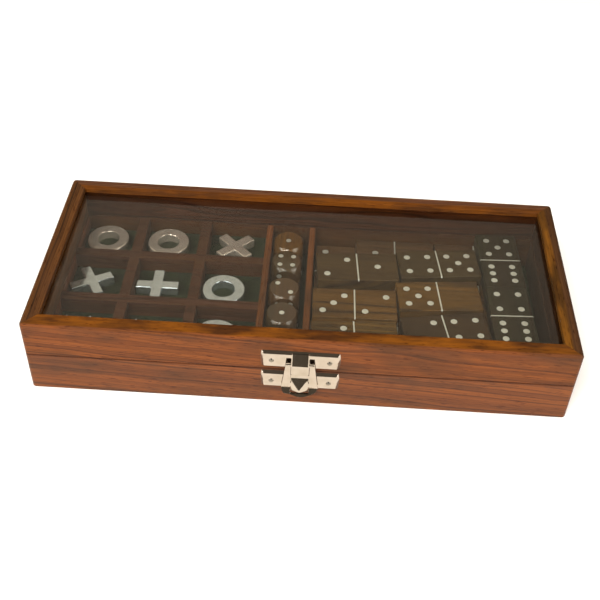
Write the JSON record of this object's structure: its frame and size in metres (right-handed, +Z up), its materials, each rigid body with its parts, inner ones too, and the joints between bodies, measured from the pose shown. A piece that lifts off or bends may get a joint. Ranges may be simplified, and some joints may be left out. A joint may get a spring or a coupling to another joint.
{
  "type": "games compendium box",
  "caption": "Shallow glazed hardwood box with a hinged lid and clasp, holding a noughts-and-crosses board, dice and dominoes.",
  "frame": {"origin": "middle of the underside, where the box rests", "axes": "+X to the right along the box, +Y to the back (hinge side), +Z up; the clasp is at the front, -Y"},
  "size_m": [0.292, 0.1363, 0.048],
  "materials": {
    "rosewood": "waxed rosewood",
    "strip_wood": "oiled rosewood",
    "panel_wood": "sanded hardwood panel",
    "die_wood": "lacquered hardwood",
    "domino_wood": "lacquered dark hardwood",
    "green_baize": "dark green baize",
    "glass": "clear float glass",
    "nickel_plate": "bright nickel plate",
    "hinge_brass": "drawn brass",
    "polished_aluminium": "polished cast aluminium",
    "inlay_metal": "bright inlaid wire"
  },
  "bodies": {
    "box": {"back_wall": "rosewood", "baize_linings": "green_baize", "board_bearers": "panel_wood", "board_panel": "panel_wood", "bottom_panel": "panel_wood", "box_hinge_leaves": "hinge_brass", "box_nails": "nickel_plate", "dividers": "strip_wood", "front_wall": "rosewood", "grid_strips": "strip_wood", "hinge_pins": "hinge_brass", "keeper_plate": "nickel_plate", "left_wall": "rosewood", "lower_domino_inlays": "inlay_metal", "lower_dominoes": "domino_wood", "right_wall": "rosewood"},
    "lid": {"lid_front_rail": "rosewood", "lid_back_rail": "rosewood", "lid_left_rail": "rosewood", "lid_right_rail": "rosewood", "glass_pane": "glass", "catch_plate": "nickel_plate", "lid_nails": "nickel_plate", "lid_hinge_leaves": "hinge_brass"},
    "clasp_lever": {"clasp_lever": "nickel_plate"},
    "nought_back_left": {"nought_back_left": "polished_aluminium"},
    "nought_back_middle": {"nought_back_middle": "polished_aluminium"},
    "nought_front_right": {"nought_front_right": "polished_aluminium"},
    "nought_middle_right": {"nought_middle_right": "polished_aluminium"},
    "cross_back_right": {"cross_back_right": "polished_aluminium"},
    "cross_front_left": {"cross_front_left": "polished_aluminium"},
    "cross_front_middle": {"cross_front_middle": "polished_aluminium"},
    "cross_middle_left": {"cross_middle_left": "polished_aluminium"},
    "cross_middle_middle": {"cross_middle_middle": "polished_aluminium"},
    "die_1": {"die_1": "die_wood", "die_1_pips": "inlay_metal"},
    "die_2": {"die_2": "die_wood", "die_2_pips": "inlay_metal"},
    "die_3": {"die_3": "die_wood", "die_3_pips": "inlay_metal"},
    "die_4": {"die_4": "die_wood", "die_4_pips": "inlay_metal"},
    "die_5": {"die_5": "die_wood", "die_5_pips": "inlay_metal"},
    "domino_2_1": {"domino_2_1": "domino_wood", "domino_2_1_inlay": "inlay_metal"},
    "domino_2_4": {"domino_2_4": "domino_wood", "domino_2_4_inlay": "inlay_metal"},
    "domino_3_1": {"domino_3_1": "domino_wood", "domino_3_1_inlay": "inlay_metal"},
    "domino_3_2": {"domino_3_2": "domino_wood", "domino_3_2_inlay": "inlay_metal"},
    "domino_4_5": {"domino_4_5": "domino_wood", "domino_4_5_inlay": "inlay_metal"},
    "domino_5_0": {"domino_5_0": "domino_wood", "domino_5_0_inlay": "inlay_metal"},
    "domino_6_4": {"domino_6_4": "domino_wood", "domino_6_4_inlay": "inlay_metal"},
    "domino_6_5": {"domino_6_5": "domino_wood", "domino_6_5_inlay": "inlay_metal"}
  },
  "joints": [
    {"name": "lid_hinge", "type": "hinge", "parent": "box", "child": "lid", "pos_m": [0, 0.063, 0.0258], "axis": [-1, 0, 0], "range_deg": [0, 110]},
    {"name": "clasp_lever_pivot", "type": "hinge", "parent": "lid", "child": "clasp_lever", "pos_m": [0.0008, -0.067, 0.033], "axis": [-1, 0, 0], "range_deg": [0, 170]},
    {"name": "lift_nought_back_left", "type": "slide", "parent": "box", "child": "nought_back_left", "axis": [0, 0, 1], "range_m": [0, 0.02]},
    {"name": "lift_nought_back_middle", "type": "slide", "parent": "box", "child": "nought_back_middle", "axis": [0, 0, 1], "range_m": [0, 0.02]},
    {"name": "lift_nought_front_right", "type": "slide", "parent": "box", "child": "nought_front_right", "axis": [0, 0, 1], "range_m": [0, 0.02]},
    {"name": "lift_nought_middle_right", "type": "slide", "parent": "box", "child": "nought_middle_right", "axis": [0, 0, 1], "range_m": [0, 0.02]},
    {"name": "lift_cross_back_right", "type": "slide", "parent": "box", "child": "cross_back_right", "axis": [0, 0, 1], "range_m": [0, 0.02]},
    {"name": "lift_cross_front_left", "type": "slide", "parent": "box", "child": "cross_front_left", "axis": [0, 0, 1], "range_m": [0, 0.02]},
    {"name": "lift_cross_front_middle", "type": "slide", "parent": "box", "child": "cross_front_middle", "axis": [0, 0, 1], "range_m": [0, 0.02]},
    {"name": "lift_cross_middle_left", "type": "slide", "parent": "box", "child": "cross_middle_left", "axis": [0, 0, 1], "range_m": [0, 0.02]},
    {"name": "lift_cross_middle_middle", "type": "slide", "parent": "box", "child": "cross_middle_middle", "axis": [0, 0, 1], "range_m": [0, 0.02]},
    {"name": "lift_die_1", "type": "slide", "parent": "box", "child": "die_1", "axis": [0, 0, 1], "range_m": [0, 0.0185]},
    {"name": "lift_die_2", "type": "slide", "parent": "box", "child": "die_2", "axis": [0, 0, 1], "range_m": [0, 0.0185]},
    {"name": "lift_die_3", "type": "slide", "parent": "box", "child": "die_3", "axis": [0, 0, 1], "range_m": [0, 0.0185]},
    {"name": "lift_die_4", "type": "slide", "parent": "box", "child": "die_4", "axis": [0, 0, 1], "range_m": [0, 0.0185]},
    {"name": "lift_die_5", "type": "slide", "parent": "box", "child": "die_5", "axis": [0, 0, 1], "range_m": [0, 0.0185]},
    {"name": "lift_domino_2_1", "type": "slide", "parent": "box", "child": "domino_2_1", "axis": [0, 0, 1], "range_m": [0, 0.013]},
    {"name": "lift_domino_2_4", "type": "slide", "parent": "box", "child": "domino_2_4", "axis": [0, 0, 1], "range_m": [0, 0.013]},
    {"name": "lift_domino_3_1", "type": "slide", "parent": "box", "child": "domino_3_1", "axis": [0, 0, 1], "range_m": [0, 0.013]},
    {"name": "lift_domino_3_2", "type": "slide", "parent": "box", "child": "domino_3_2", "axis": [0, 0, 1], "range_m": [0, 0.013]},
    {"name": "lift_domino_4_5", "type": "slide", "parent": "box", "child": "domino_4_5", "axis": [0, 0, 1], "range_m": [0, 0.013]},
    {"name": "lift_domino_5_0", "type": "slide", "parent": "box", "child": "domino_5_0", "axis": [0, 0, 1], "range_m": [0, 0.013]},
    {"name": "lift_domino_6_4", "type": "slide", "parent": "box", "child": "domino_6_4", "axis": [0, 0, 1], "range_m": [0, 0.013]},
    {"name": "lift_domino_6_5", "type": "slide", "parent": "box", "child": "domino_6_5", "axis": [0, 0, 1], "range_m": [0, 0.013]}
  ]
}
